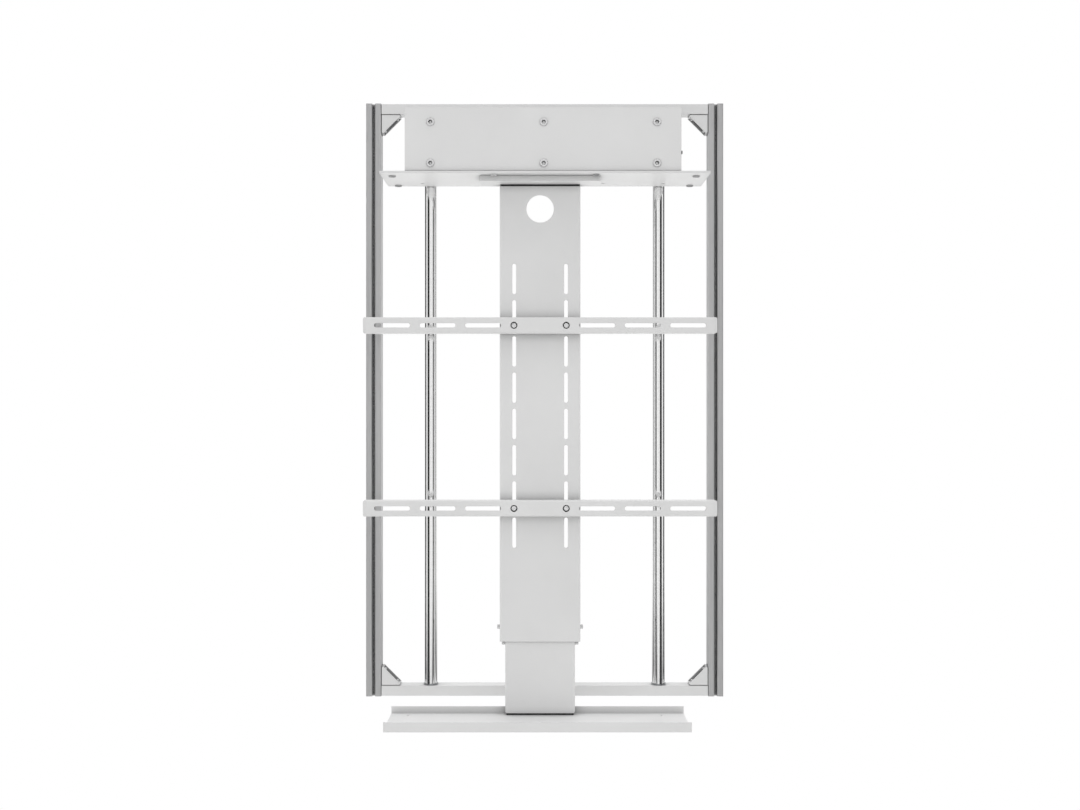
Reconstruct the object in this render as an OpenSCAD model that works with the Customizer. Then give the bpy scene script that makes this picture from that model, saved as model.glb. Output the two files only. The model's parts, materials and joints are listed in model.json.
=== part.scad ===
// Ceiling television lift, shown retracted: a fixed frame of slotted rails with two guide rods,
// a motor carriage that climbs a rack on it, and a slotted column with two mounting arms and a tray.
// The origin is the middle of the top bar's back face. +X is right, -Y faces the viewer, +Z is up.

/* [Frame] */
// Outer width over both rails
frame_w = 715; // [680:1:800]
// Length of the rails
frame_h = 1187; // [1150:1:1400]
// Side of the square rail section
rail = 30; // [29:0.5:40]
// Corner radius of the rail section
rail_corner_r = 1.5; // [0.5:0.1:2.5]
// Width of the rail groove's mouth
groove_w = 5.4; // [5.4:0.1:8]
// Thickness of the lips beside the groove's mouth
groove_lip = 2.2; // [2:0.1:3]
// Width of the chamber behind the lips
groove_chamber_w = 12.4; // [10:0.1:14]
// Depth of the groove from the rail's face
groove_depth = 7.5; // [6.8:0.1:8.5]
// Width of the bevel on each side of the groove's mouth
groove_bevel_w = 2.2; // [1:0.1:4]
// Depth of that bevel
groove_bevel_d = 1.7; // [0.3:0.1:1.8]
// Bore along the rail's core
rail_bore_d = 5; // [3:0.5:7]
// Height of the cross bars
bar_h = 20; // [18:0.5:30]
// Wall of the cross bar tube
bar_wall = 2; // [1.5:0.1:3]
// Distance from the rail's end to the bar's outer face
bar_inset = 1.4; // [0.5:0.1:5]
// Gap between each end of a cross bar and its rail
bar_end_gap = 0.8; // [0.2:0.1:1.5]

/* [Corner brackets] */
// Length of each bracket's leg plates
bracket_leg = 37.5; // [35:0.5:60]
// Chamfer at the tips of the bracket's side walls
bracket_tip = 1.5; // [0.5:0.1:2]
// Width of the bracket across the frame's depth
bracket_w = 28; // [20:0.5:30]
// Thickness of the two triangular side walls
bracket_wall = 2.5; // [2:0.1:4]
// Gap between the side walls and the frame
bracket_wall_gap = 1.3; // [0.3:0.1:1.5]
// Thickness of the two leg plates
bracket_plate = 4; // [3:0.1:5]
// Distance of each bracket bolt from the corner
bracket_bolt_at = 29; // [20:0.5:30]

/* [Guide rods] */
// Diameter of the rods
rod_d = 25; // [20:0.5:28]
// Distance of the rods inside the housing's sides
rod_inset = 32.3; // [29:0.1:46]
// Chamfer at the rod ends
rod_chamfer = 1; // [0.5:0.1:2]
// Outside diameter of the ring at each rod end
rod_ring_d = 29; // [29:0.1:32]
// Height of the ring at each rod end
rod_ring_h = 3; // [2:0.1:6]

/* [Rack drive] */
// Gear module of rack and pinion
gear_module = 2; // [1.5:0.25:2.5]
// Number of pinion teeth
pinion_teeth = 20; // [18:1:22]
// Distance of the rack's pitch line from the frame's middle
rack_pitch_x = 24; // [20:0.5:30]
// Thickness of the rack body behind its pitch line
rack_body = 13; // [9:0.5:16]
// Depth of the rack bar
rack_depth = 15; // [12:0.5:20]
// Plain length without teeth at each rack end
rack_plain = 12; // [8:0.5:30]
// Face width of the pinion
pinion_w = 12; // [8:0.5:14]
// Height of the pinion's axis above the lower plate
pinion_rise = 36; // [35:0.5:44]
// Diameter of the output shaft
shaft_d = 14; // [12:0.5:16]
// Diameter of the shaft's collar in front of the pinion
collar_d = 20; // [18:0.5:24]
// Outside diameter of the shaft's bush
shaft_bush_d = 24; // [20:0.5:28]
// Length of the shaft inside the gearbox
shaft_in_gearbox = 50; // [30:1:54]

/* [Lower plate] */
// Width of the lower plate
plate_w = 625; // [600:1:640]
// Depth of the lower plate
plate_d = 141; // [136:0.5:160]
// Thickness of the lower plate
plate_t = 4; // [3:0.1:6]
// Corner radius of the lower plate
plate_corner_r = 4; // [1:0.5:8]
// Gap between the plate's rear edge and the frame's front plane
plate_gap = 1; // [0.5:0.1:5]
// Top of the plate below the origin when retracted
rest_drop = 151; // [148:0.5:200]
// Bore of the four liners in the plate's corners
plate_hole_d = 12.4; // [9:0.1:12.6]
// Outside diameter of the liners
liner_d = 13.6; // [13.4:0.1:16]
// Height of the liners above the plate
liner_rise = 2; // [1:0.1:3]
// Depth of the liners' rims below the plate, and of the rims at the service holes
liner_drop = 2.2; // [0.5:0.1:3]
// Distance of the liners from the plate's side edges
plate_hole_side = 22.5; // [15:0.5:26]
// Sideways shift of the four liners from the plate's middle
plate_hole_shift = -1.4; // [-3:0.1:3]
// Distance between front and rear liners
plate_hole_dy = 100; // [90:0.5:110]
// Distance of the rear liners from the rear edge
plate_hole_edge = 11.5; // [10:0.5:16]
// Diameter of the two service holes in front of the hanger block
service_hole_d = 12; // [8:0.5:13]
// Distance between the service holes
service_hole_dx = 194; // [180:1:200]
// Gap between the service holes' edge and the hanger block
service_hole_gap = 0.6; // [0.4:0.1:2]

/* [Housing] */
// Distance of the housing's sides inside the plate's ends
box_inset = 51.2; // [46:0.1:56]
// Height of the motor housing
box_h = 121; // [118:0.5:130]
// Sideways shift of the housing from the frame's middle
box_shift = -3.6; // [-8:0.1:8]
// Distance of the housing's front behind the plate's front edge
box_setback = 6; // [2:0.5:8]
// Sheet thickness of the housing shell
sheet = 2; // [1.5:0.1:2.5]
// Outer bend radius of the housing shell and corner radius of its cover
box_bend_r = 3; // [2.6:0.1:5]
// Thickness of the front cover
cover_t = 3; // [2.5:0.1:4]
// Gap between the front cover's lower edge and the plate
cover_gap = 1.6; // [1.2:0.1:3]
// Thickness of the back plate
back_t = 5; // [4:0.1:6]
// Distance of the back plate behind which the frame begins
back_clear = 15; // [12:0.5:18]
// Depth of the back plate's bottom flange
back_flange = 25; // [20:0.5:28]
// Distance of the outer cover screws inside the housing's sides
cover_screw_side = 47.1; // [44:0.1:56]
// Sideways shift of the cover screws from the housing's middle
cover_screw_shift = 1.2; // [0:0.1:3]
// Height of the lower cover screws above the plate
cover_screw_low = 16; // [15:0.1:16.5]
// Height between the two rows of cover screws
cover_screw_dz = 77.6; // [77.4:0.1:90]
// Width across flats of the cover's spacer bars
spacer_af = 14; // [13:0.5:14]
// Height of the side screw above the plate
side_screw_rise = 38; // [30:0.5:80]
// Distance of the side screw behind the front cover
side_screw_back = 8; // [6:0.5:20]

/* [Bearing blocks] */
// Width of a bearing block
block_w = 52; // [46:0.5:54]
// Height of a bearing block
block_h = 111; // [90:0.5:112]
// Height of a block's foot above the plate
block_rise = 5; // [3:0.5:6]
// Distance of a block's back from the frame's back plane
block_back_gap = 2; // [1:0.1:4]
// Outside diameter of a slide bush
bush_d = 29; // [28:0.1:29]
// Length of a slide bush
bush_len = 36; // [20:0.5:40]
// Width of the slot down the back of block and bush
bush_slot = 13; // [10:0.5:16]

/* [Motor] */
// Width of the gearbox
gearbox_w = 74; // [60:0.5:90]
// Height of the gearbox
gearbox_h = 62; // [58:0.5:62]
// Depth of the gearbox
gearbox_d = 62; // [58:0.5:80]
// Height of the gearbox's underside above the plate
gearbox_rise = 24; // [24:0.1:25]
// Sideways shift of the gearbox's middle from the pinion's axis
gearbox_shift = 1; // [-4:0.5:4]
// Diameter of the motor can
motor_d = 54; // [40:0.5:58]
// Length of the motor can
motor_len = 128; // [90:1:140]
// Length of the motor's end cap
motor_cap_len = 14; // [8:0.5:20]
// Gap between the control board and the cover's outer spacer bars
board_side_gap = 15.8; // [12:0.1:40]
// Height of the control board
board_h = 78; // [60:1:80]
// Thickness of the control board
board_t = 1.6; // [1:0.1:2]
// Gap between the gearbox and the control board
board_gap = 26; // [22:1:30]
// Height of the board's lower edge above the plate
board_rise = 26; // [26:0.5:30]
// Length of the board's spacers
board_spacer = 10; // [6:0.5:14]
// Diameter of the power inlet's barrel
inlet_d = 12; // [10:0.5:16]
// Bore of the power inlet
inlet_bore_d = 6; // [5:0.5:8]
// Length of the power inlet behind the back plate
inlet_len = 6; // [4:0.5:10]

/* [Hanger] */
// Width of the hanger block
hanger_w = 231; // [220:1:260]
// Depth of the hanger block
hanger_d = 58; // [54:0.5:62]
// Thickness of the hanger block
hanger_t = 11.2; // [10:0.1:16]
// Radius of the hanger block's upright corners
hanger_r = 4; // [2:0.5:10]
// Radius of the hanger block's long upper edges
hanger_edge_r = 1.5; // [1:0.5:6]
// Radius of the hanger block's upper edges at its ends
hanger_end_r = 6.5; // [1:0.5:8]
// Distance of the hanger block behind the plate's front edge
hanger_setback = 20.6; // [18:0.1:24]
// Thickness of the pad between hanger block and column
hanger_pad_t = 3.7; // [3:0.1:6]
// Distance of the pad's sides inside the column's sides
hanger_pad_inset = 1.5; // [0.5:0.1:4]

/* [Column] */
// Width of the outer column
column_w = 156; // [150:0.5:170]
// Depth of the outer column
column_d = 50; // [45:0.5:60]
// Sheet thickness of both columns
column_t = 2.5; // [2:0.1:3]
// Outer bend radius of both columns
column_r = 4; // [3.5:0.1:6]
// Length of the outer column
column_len = 879.3; // [860:0.5:900]
// Sideways shift of column, arms and hanger from the frame's middle
column_shift = -9.2; // [-12:0.1:12]
// Distance of the column's front behind the hanger block's front
column_setback = 35.4; // [32:0.1:38]
// Diameter of the cable hole
cable_hole_d = 53; // [40:0.5:60]
// Depth of the cable hole's middle below the column's top
cable_hole_drop = 43.8; // [42:0.1:60]
// Distance between the two columns of slots
slot_dx = 100; // [95:0.5:104]
// Height between slot rows
slot_pitch = 70; // [68:0.5:80]
// Number of slot rows
slot_rows = 8; // [8:1:9]
// Length of a column slot
slot_len = 58.5; // [56:0.5:60]
// Width of a column slot
slot_w = 7.2; // [6.6:0.1:10]
// Depth of the first slot's middle below the column's top
slot_first = 178.9; // [170:0.1:190]
// Height of the clamp screws above the column's lower end
clamp_rise = 25.1; // [20:0.1:40]
// Distance of the clamp screws behind the column's front
clamp_back = 23; // [18:0.5:28]

/* [Arms] */
// Length of a mounting arm
arm_len = 677; // [640:1:700]
// Height of a mounting arm
arm_h = 31; // [28:0.5:34]
// Depth of a mounting arm
arm_d = 24; // [20:0.5:30]
// Wall of the arm's tube
arm_wall = 2.5; // [2:0.1:3]
// Outer corner radius of the arm's tube
arm_r = 3; // [2.8:0.1:4]
// Thickness of the arm's end caps
arm_cap_t = 4; // [3:0.1:6]
// Length of an end cap's plug
arm_plug = 8; // [5:0.5:10]
// Wall of an end cap's plug
arm_plug_wall = 2; // [1.5:0.1:3]
// Slot row that holds the upper arm, counted from the top
upper_arm_row = 2; // [1:1:3]
// Slot row that holds the lower arm
lower_arm_row = 7; // [6:1:8]
// Distance of the arms' axes below the middle of their slots
arm_slot_drop = 21.1; // [0:0.1:21.5]
// Diameter of the access hole in front of each arm bolt
arm_access_d = 13.3; // [12:0.1:15]
// Diameter of the arm bolts' barrel heads
barrel_d = 12.4; // [10:0.1:12.6]
// Bevel of the barrel heads
barrel_bevel = 1.6; // [0.5:0.1:2.5]
// Gap between the barrel heads and the arm's front wall
barrel_gap = 1.5; // [0.5:0.1:6]
// Distance of the first mounting slot from the arm's middle
vesa_first = 109; // [106:0.5:112]
// Distance between mounting slots
vesa_pitch = 87; // [84:0.5:90]
// Number of mounting slots on each half of an arm
vesa_count = 3; // [2:1:3]
// Length of a mounting slot
vesa_len = 68.5; // [60:0.5:72]
// Width of a mounting slot
vesa_w = 8.4; // [8.2:0.1:9]
// Extra room round the mounting slots in the arm's rear wall
vesa_relief = 3; // [2:0.1:4]

/* [Inner column and tray] */
// Width of the inner column
inner_w = 135; // [130:0.5:136]
// Depth of the inner column
inner_d = 40; // [36:0.5:44]
// Length of the inner column
inner_len = 296; // [260:1:310]
// Length of the inner column showing below the outer one
inner_show = 138.8; // [120:0.1:150]
// Depth of the inner column's foot flange
foot_d = 14.5; // [13:0.1:15]
// Thickness of the pad under the inner column
foot_pad_t = 3.8; // [3:0.1:6]
// Distance of the foot pad's edges inside the foot
foot_pad_inset = 2.5; // [0.5:0.1:3]
// Drop of the glide screws below the outer column's end
glide_drop = 5.7; // [5:0.1:10]
// Width of the tray's floor
tray_w = 568.7; // [540:0.5:590]
// Depth of the tray's floor
tray_d = 71.4; // [66:0.1:90]
// Sheet thickness of the tray
tray_t = 2; // [1.5:0.1:2.5]
// Sideways shift of the tray from the frame's middle
tray_shift = -14.2; // [-18:0.1:18]
// Height of the tray's rear flange above the floor
tray_rear_h = 13.1; // [10:0.1:20]
// Height of the tray's front flange from the floor's top down
tray_front_h = 18.6; // [14:0.1:30]
// Length by which the front flange is longer than the floor at each end
tray_ear = 7.2; // [4:0.1:10]
// Gap between the inner column's foot flange and the tray's rear flange
tray_rear_gap = 1.9; // [1:0.1:4]
// Diameter of the two panel holes in the tray's floor
tray_hole_d = 5; // [4:0.1:7]
// Distance between the panel holes
tray_hole_dx = 490; // [460:1:500]
// Sideways shift of the panel holes from the tray's middle
tray_hole_shift = -5.8; // [-8:0.1:0]
// Distance of the panel holes behind the tray's front
tray_hole_back = 52; // [40:0.5:54]

/* [Fasteners] */
// Large thread: shank diameter
large_d = 8; // [7:0.5:8]
// Large thread: cap head diameter
large_head_d = 13; // [12:0.5:13]
// Large thread: cap head height
large_head_h = 8; // [6:0.5:8]
// Middle thread: shank diameter
middle_d = 6; // [5:0.1:6]
// Middle thread: cap head diameter
middle_head_d = 10; // [9:0.5:10.5]
// Middle thread: cap head height
middle_head_h = 6; // [4:0.5:6]
// Small thread: shank diameter
small_d = 5; // [4:0.1:5]
// Small thread: cap head diameter
small_head_d = 8.6; // [7.5:0.1:9]
// Small thread: cap head height
small_head_h = 5.4; // [4:0.1:5.5]
// Height of the glide screws' heads
glide_head_h = 7; // [5:0.1:7.5]
// Cover screw: head diameter
cover_head_d = 15.2; // [14:0.1:18]
// Cover screw: head height
cover_head_h = 1.6; // [1:0.1:3]
// Cover screw: shank diameter
cover_screw_d = 10; // [9:0.1:10]
// Cover screw: width across flats of the socket
cover_socket_af = 7; // [5:0.1:7.5]
// Cover screw: depth of the socket
cover_socket_depth = 5; // [3:0.1:8]
// Chamfer round every screw head
head_chamfer = 0.5; // [0.2:0.1:0.8]
// Side screw: head diameter
side_head_d = 7; // [6:0.1:9]
// Side screw: head height
side_head_h = 3; // [2:0.1:4]
// Side screw: shank diameter
side_screw_d = 4; // [3:0.1:4]

/* [Clearances] */
// Radial running clearance of the bushes and the output shaft
running_clear = 0.05; // [0.02:0.01:0.1]
// Radial clearance of a screw in its hole
screw_clear = 0.2; // [0.1:0.05:0.25]
// Gap between flat faces that slide on each other
slide_gap = 0.2; // [0.1:0.05:0.4]
// Gap between the inner and outer column's front walls
column_gap = 0.5; // [0.3:0.1:1]
// Extra distance between the axes of rack and pinion
mesh_gap = 0.15; // [0.1:0.05:0.3]
// Thinning of each gear tooth flank
flank_gap = 0.08; // [0.05:0.01:0.15]
// Clearance of a seated piece in its pocket
seat_clear = 0.1; // [0.05:0.05:0.2]

/* [Hidden] */
$fn = 64;
paint = [0.83, 0.83, 0.83];
anodised = [0.68, 0.69, 0.70];
chrome = [0.86, 0.87, 0.89];
zinc = [0.72, 0.73, 0.74];
blackened = [0.20, 0.20, 0.21];
rubber = [0.16, 0.16, 0.17];
bronze = [0.70, 0.56, 0.34];
board_green = [0.10, 0.36, 0.22];
nylon = [0.36, 0.36, 0.37];
over = 1;
hex_ratio = 1 / cos(30);

// Widths that follow the lower plate
box_w = plate_w - 2 * box_inset;
rod_spacing = box_w - 2 * rod_inset;
cover_screw_dx = box_w / 2 - cover_screw_side;

// Frame levels and places
frame_front = -rail;
rail_x = frame_w / 2 - rail / 2;
inner_frame_w = frame_w - 2 * rail;
bar_len = inner_frame_w - 2 * bar_end_gap;
rail_top = bar_h / 2 + bar_inset;
rail_bottom = rail_top - frame_h;
bottom_bar_z = rail_bottom + bar_inset + bar_h / 2;
bars_below = -bar_h / 2;
bars_above = bottom_bar_z + bar_h / 2;
rod_y = -rail / 2;
rod_x = rod_spacing / 2;
rack_bolt_x = rack_pitch_x + rack_body / 2;

// Gear sizes
pinion_r = gear_module * pinion_teeth / 2;
pressure_angle = 20;
tooth_pitch = PI * gear_module;
root_depth = 1.25 * gear_module;
pinion_x = rack_pitch_x - pinion_r - mesh_gap;

// Carriage levels and places
plate_top = -rest_drop;
plate_bottom = plate_top - plate_t;
plate_rear = frame_front - plate_gap;
plate_front = plate_rear - plate_d;
cover_front = plate_front + box_setback;
shell_front = cover_front + cover_t;
back_rear = frame_front - back_clear;
back_front = back_rear - back_t;
pinion_z = plate_top + pinion_rise;
pinion_front = rod_y - pinion_w / 2;
pinion_back = rod_y + pinion_w / 2;
block_back = -block_back_gap;
cover_screw_mid = box_shift + cover_screw_shift;
cover_screw_places = [for (i = [-1:1], j = [0:1])
    [cover_screw_mid + i * cover_screw_dx, plate_top + cover_screw_low + j * cover_screw_dz]];
block_bolt_dx = 17;
block_bolt_dz = 45;
block_bolt_z = plate_top + box_h / 2 - block_rise / 2;
block_bolt_depth = 12;
gearbox_x = pinion_x + gearbox_shift;
gearbox_z = plate_top + gearbox_rise + gearbox_h / 2;
gearbox_bolt_side = 8;
gearbox_bolt_edge = 7;
gearbox_bolt_dx = gearbox_w / 2 - gearbox_bolt_side;
gearbox_bolt_dz = gearbox_h / 2 - gearbox_bolt_edge;
gearbox_bolt_depth = 10;
motor_y = back_front - gearbox_d / 2;
board_left = gearbox_x + gearbox_w / 2 + board_gap;
board_right = cover_screw_mid + cover_screw_dx - spacer_af * hex_ratio / 2 - board_side_gap;
board_w = board_right - board_left;
board_mid = [board_left + board_w / 2, plate_top + board_rise + board_h / 2];
board_front = back_front - board_spacer - board_t;
board_hole_edge = 5;
board_hole_d = 2;
board_spacer_d = 6;
inlet_place = [board_left + board_w - inlet_d, plate_top + board_rise + board_h / 2];
flange_bolt_side = 24;
flange_bolt_x = [for (i = [-1, -0.5, 0.5, 1]) box_shift + i * (box_w / 2 - flange_bolt_side)];
flange_bolt_y = back_front - back_flange / 2;

// Hanger and column levels and places
hanger_front = plate_front + hanger_setback;
hanger_bottom = plate_bottom - hanger_t;
hanger_rear = hanger_front + hanger_d;
hanger_bolt_dx = 85;
hanger_bolt_edge = 14;
hanger_bolt_depth = 9;
service_y = hanger_front - service_hole_gap - service_hole_d / 2;
column_top = hanger_bottom - hanger_pad_t;
column_bottom = column_top - column_len;
column_front = hanger_front + column_setback;
web_back = column_front + column_t;
column_bolt_dx = 45;
column_bolt_y = (column_front + hanger_rear) / 2;
slot_rows_z = [for (i = [0:slot_rows - 1]) column_top - slot_first - i * slot_pitch];
clamp_y = column_front + clamp_back;
clamp_z = column_bottom + clamp_rise;

// Arm places
arm_back = column_front - slide_gap;
arm_front = arm_back - arm_d;
upper_arm_z = slot_rows_z[upper_arm_row - 1] - arm_slot_drop;
lower_arm_z = slot_rows_z[lower_arm_row - 1] - arm_slot_drop;
arm_seat = arm_back - arm_wall;
vesa_x = [for (i = [0:vesa_count - 1], s = [-1, 1]) s * (vesa_first + i * vesa_pitch)];
washer_d = 16;
washer_t = 1.6;
nut_ratio = 0.8;
nut_af_ratio = 5 / 3;
thread_past_nut = 1.5;

// Inner column and tray levels and places
inner_front = web_back + column_gap;
inner_bottom = column_bottom - inner_show;
inner_top = inner_bottom + inner_len;
glide_z = column_bottom - glide_drop;
tray_floor = inner_bottom - foot_pad_t;
foot_back = inner_front + foot_d;
tray_rear = foot_back + tray_rear_gap + tray_t;
tray_front = tray_rear - tray_d;
notch_h = foot_pad_t + tray_rear_h;
foot_bolt_dx = 45;
foot_bolt_y = inner_front + foot_d / 2;
tray_hole_x = tray_shift + tray_hole_shift;

// Rounded rectangle about its middle
module round_rect(w, h, r) {
    square([w - 2 * r, h], center = true);
    square([w, h - 2 * r], center = true);
    for (i = [-1, 1], j = [-1, 1]) translate([i * (w / 2 - r), j * (h / 2 - r)]) circle(r);
}

// Slot outline along X about its middle
module slot_outline(len, w) {
    square([len - w, w], center = true);
    for (i = [-1, 1]) translate([i * (len - w) / 2, 0]) circle(d = w);
}

// Prism along Y: the outline's x and y become X and Z, and it reaches forward from the plane y
module along_y(y, depth) {
    translate([0, y, 0]) rotate([90, 0, 0]) linear_extrude(depth) children();
}

// Prism along X: the outline's x and y become Y and Z, centred on x
module along_x(x, len) {
    translate([x - len / 2, 0, 0]) rotate([90, 0, 90]) linear_extrude(len) children();
}

// Channel section, open at the back, with its front wall at y = 0
module channel_section(w, d, t, r) {
    difference() {
        channel_outline(w, d, r);
        translate([0, t]) channel_outline(w - 2 * t, d, r - t);
    }
}

// Filled channel outline with two rounded front corners
module channel_outline(w, d, r) {
    translate([-w / 2, r]) square([w, d - r]);
    translate([-w / 2 + r, 0]) square([w - 2 * r, d]);
    for (i = [-1, 1]) translate([i * (w / 2 - r), r]) circle(r);
}

// Upright outline standing on y = 0 with two rounded upper corners
module crowned_outline(w, h, r) {
    translate([0, h]) mirror([0, 1]) channel_outline(w, h, r);
}

// Cap screw: its head stands on z = 0 and its shank hangs below, with a hexagon socket on top
module cap_screw(d, head_d, head_h, len, socket_af, socket_depth) {
    difference() {
        union() {
            cylinder(d = head_d, h = head_h - head_chamfer);
            translate([0, 0, head_h - head_chamfer])
                cylinder(d1 = head_d, d2 = head_d - 2 * head_chamfer, h = head_chamfer);
            translate([0, 0, -len]) cylinder(d = d, h = len + head_chamfer);
        }
        translate([0, 0, head_h - socket_depth])
            cylinder(d = socket_af * hex_ratio, h = socket_depth + over, $fn = 6);
    }
}

module large_screw(len) {
    cap_screw(large_d, large_head_d, large_head_h, len, large_d * 0.75, large_head_h * 0.6);
}

module middle_screw(len) {
    cap_screw(middle_d, middle_head_d, middle_head_h, len, middle_d * 0.83, middle_head_h * 0.6);
}

module small_screw(len, head_h) {
    cap_screw(small_d, small_head_d, head_h, len, small_d * 0.8, head_h * 0.6);
}

// Hole for a screw of shank diameter d, through the plane z = 0 both ways
module screw_hole(d, reach) {
    translate([0, 0, -reach]) cylinder(d = d + 2 * screw_clear, h = 2 * reach);
}

// Turns a piece standing along +Z to face the viewer, or away
module facing_front() { rotate([90, 0, 0]) children(); }
module facing_back() { rotate([-90, 0, 0]) children(); }

// Turns a piece standing along +Z to face +X or -X
module facing_side(side) { rotate([0, side * 90, 0]) children(); }

// Hexagon nut around +Z, with its lower face on z = 0
module hex_nut(d) {
    difference() {
        cylinder(d = d * nut_af_ratio * hex_ratio, h = d * nut_ratio, $fn = 6);
        screw_hole(d, d * 2);
    }
}

// Fixed frame

module rail_section() {
    difference() {
        round_rect(rail, rail, rail_corner_r);
        for (a = [0:90:270]) rotate(a) groove_section();
        circle(d = rail_bore_d);
    }
}

module groove_section() {
    translate([-groove_w / 2, rail / 2 - groove_lip - over]) square([groove_w, groove_lip + 2 * over]);
    translate([-groove_chamber_w / 2, rail / 2 - groove_depth])
        square([groove_chamber_w, groove_depth - groove_lip]);
    translate([0, rail / 2]) polygon([[-groove_w / 2 - groove_bevel_w, 0], [-groove_w / 2, -groove_bevel_d],
        [groove_w / 2, -groove_bevel_d], [groove_w / 2 + groove_bevel_w, 0]]);
}

module rail_bar(side) {
    color(anodised) translate([side * rail_x, rod_y, rail_bottom]) linear_extrude(frame_h) rail_section();
}
module left_rail() { rail_bar(-1); }
module right_rail() { rail_bar(1); }

// Cross bar tube with the holes of its bolts. inward is -1 where the frame lies below the bar.
module cross_bar(z, inward) {
    color(paint) difference() {
        translate([0, rod_y, z]) cube([bar_len, rail, bar_h], center = true);
        translate([0, rod_y, z])
            cube([bar_len + over, rail - 2 * bar_wall, bar_h - 2 * bar_wall], center = true);
        for (i = [-1, 1]) translate([i * rod_x, rod_y, z]) bar_bolt_holes(large_d, large_head_d, inward);
        translate([rack_bolt_x, rod_y, z]) bar_bolt_holes(middle_d, middle_head_d, inward);
        for (i = [-1, 1]) translate([i * (inner_frame_w / 2 - bracket_bolt_at), rod_y, z + inward * bar_h / 2])
            screw_hole(small_d, bar_wall + over);
    }
}

// Clear hole in the wall towards the frame and an access hole in the outer wall
bar_access_gap = 1;
module bar_bolt_holes(d, head_d, inward) {
    translate([0, 0, inward * bar_h / 2]) screw_hole(d, bar_wall + over);
    translate([0, 0, -inward * bar_h / 2]) screw_hole(head_d + 2 * bar_access_gap, bar_wall + over);
}

module top_bar() { cross_bar(0, -1); }
module bottom_bar() { cross_bar(bottom_bar_z, 1); }

// Puts a piece drawn for the corner at the origin, with legs along +X and -Z, into a frame corner
module at_corner(side, top) {
    translate([side * inner_frame_w / 2, rod_y, top ? bars_below : bars_above])
        mirror([side > 0 ? 1 : 0, 0, 0]) mirror([0, 0, top ? 0 : 1]) children();
}

// Cast angle: two leg plates between two triangular side walls, open along the slope
module bracket_body() {
    inner_w = bracket_w - 2 * bracket_wall;
    color(paint) difference() {
        union() {
            along_y(inner_w / 2, inner_w) bracket_legs();
            for (y = [bracket_w / 2, -inner_w / 2]) along_y(y, bracket_wall) bracket_side();
        }
        translate([bracket_bolt_at, 0, 0]) screw_hole(small_d, bracket_plate + over);
        translate([0, 0, -bracket_bolt_at]) facing_side(1) screw_hole(small_d, bracket_plate + over);
    }
}

module bracket_legs() {
    translate([0, -bracket_plate]) square([bracket_leg, bracket_plate]);
    translate([0, -bracket_leg]) square([bracket_plate, bracket_leg]);
}

module bracket_side() {
    near = bracket_wall_gap;
    polygon([[near, -near], [bracket_leg - bracket_tip, -near], [bracket_leg, -near - bracket_tip],
        [bracket_leg, -bracket_plate], [bracket_plate, -bracket_leg],
        [near + bracket_tip, -bracket_leg], [near, bracket_tip - bracket_leg]]);
}
module top_left_bracket() { at_corner(-1, true) bracket_body(); }
module top_right_bracket() { at_corner(1, true) bracket_body(); }
module bottom_left_bracket() { at_corner(-1, false) bracket_body(); }
module bottom_right_bracket() { at_corner(1, false) bracket_body(); }

bracket_bolt_len = bracket_plate + groove_depth - 0.5;
module bracket_bolts() {
    color(zinc) for (side = [-1, 1], top = [true, false]) at_corner(side, top) {
        translate([bracket_bolt_at, 0, -bracket_plate]) rotate([180, 0, 0])
            small_screw(bracket_bolt_len, small_head_h);
        translate([bracket_plate, 0, -bracket_bolt_at]) facing_side(1)
            small_screw(bracket_bolt_len, small_head_h);
    }
}

slot_nut_len = 14;
slot_nut_t = groove_depth - groove_lip - 2 * seat_clear - 0.5;
module slot_nuts() {
    color(zinc) for (side = [-1, 1], top = [true, false]) at_corner(side, top) difference() {
        translate([-groove_lip - seat_clear - slot_nut_t, -groove_chamber_w / 2 + seat_clear,
            -bracket_bolt_at - slot_nut_len / 2])
            cube([slot_nut_t, groove_chamber_w - 2 * seat_clear, slot_nut_len]);
        translate([0, 0, -bracket_bolt_at]) facing_side(1) screw_hole(small_d, groove_depth * 2);
    }
}

rod_bolt_depth = 20;
module guide_rod(side) {
    rod_len = bars_below - bars_above;
    color(chrome) translate([side * rod_x, rod_y, bars_above]) difference() {
        union() {
            translate([0, 0, rod_chamfer]) cylinder(d = rod_d, h = rod_len - 2 * rod_chamfer);
            cylinder(d1 = rod_d - 2 * rod_chamfer, d2 = rod_d, h = rod_chamfer);
            translate([0, 0, rod_len - rod_chamfer])
                cylinder(d1 = rod_d, d2 = rod_d - 2 * rod_chamfer, h = rod_chamfer);
        }
        for (z = [0, rod_len]) translate([0, 0, z]) screw_hole(large_d, rod_bolt_depth + over);
    }
}
module left_guide_rod() { guide_rod(-1); }
module right_guide_rod() { guide_rod(1); }

module rod_rings() {
    color(chrome) for (i = [-1, 1], z = [bars_above, bars_below - rod_ring_h])
        translate([i * rod_x, rod_y, z]) difference() {
            cylinder(d = rod_ring_d, h = rod_ring_h);
            translate([0, 0, -over]) cylinder(d = rod_d + 2 * running_clear, h = rod_ring_h + 2 * over);
        }
}

// Places a screw inside both bars so that it points into the frame
module at_bar_ends(x) {
    translate([x, rod_y, bars_below + bar_wall]) children();
    translate([x, rod_y, bars_above - bar_wall]) rotate([180, 0, 0]) children();
}

module rod_bolts() {
    color(zinc) for (i = [-1, 1]) at_bar_ends(i * rod_x) large_screw(bar_wall + rod_bolt_depth);
}

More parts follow.
